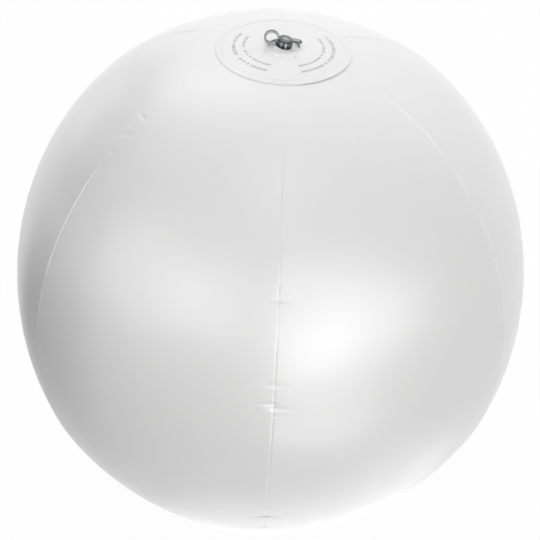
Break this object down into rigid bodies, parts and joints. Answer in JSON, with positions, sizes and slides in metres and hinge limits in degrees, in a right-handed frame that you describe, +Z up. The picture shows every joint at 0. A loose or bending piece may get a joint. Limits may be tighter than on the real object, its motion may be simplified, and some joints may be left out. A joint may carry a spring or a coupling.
{
  "type": "inflatable beach ball",
  "caption": "Inflated vinyl beach ball of welded film gores with round end discs, a soft push-in air valve and a plug on a strap; stands on a flattened pole.",
  "frame": {"origin": "on the floor, under the ball's centre, in the middle of the flattened lower pole", "axes": "+Z up through both poles; the front seam faces -Y; +X to the right, where the pull tab points"},
  "size_m": [0.28, 0.2844, 0.2929],
  "materials": {
    "film": "glossy soft white vinyl film",
    "end_disc": "glossy soft white vinyl film, slightly milky",
    "clear_vinyl": "clear grey flexible vinyl, wet gloss"
  },
  "bodies": {
    "shell": {"gore_1": "film", "gore_2": "film", "gore_3": "film", "gore_4": "film", "gore_5": "film", "gore_6": "film", "valve_disc": "end_disc", "base_disc": "end_disc", "valve_flange": "clear_vinyl", "valve_web": "clear_vinyl"},
    "neck": {"valve_neck": "clear_vinyl", "strap": "clear_vinyl"},
    "plug": {"plug": "clear_vinyl"},
    "tab": {"pull_tab": "clear_vinyl"},
    "flap": {"check_flap": "clear_vinyl"}
  },
  "joints": [
    {"name": "valve_slide", "type": "slide", "parent": "shell", "child": "neck", "axis": [0.1736, 0, 0.9848], "range_m": [0, 0.004], "deforming": ["valve_web"]},
    {"name": "plug_swing", "type": "hinge", "parent": "neck", "child": "plug", "pos_m": [-0.00647, 0, 0.28894], "axis": [0, -1, 0], "range_deg": [0, 90], "deforming": ["strap"]},
    {"name": "tab_flex", "type": "hinge", "parent": "plug", "child": "tab", "pos_m": [0.00464, 0, 0.28761], "axis": [0, -1, 0], "range_deg": [0, 50], "stiffness_Nm_per_rad": 0.00002},
    {"name": "flap_swing", "type": "hinge", "parent": "neck", "child": "flap", "pos_m": [-0.00592, 0, 0.27754], "axis": [0, 1, 0], "range_deg": [0, 70], "stiffness_Nm_per_rad": 0.00002}
  ]
}
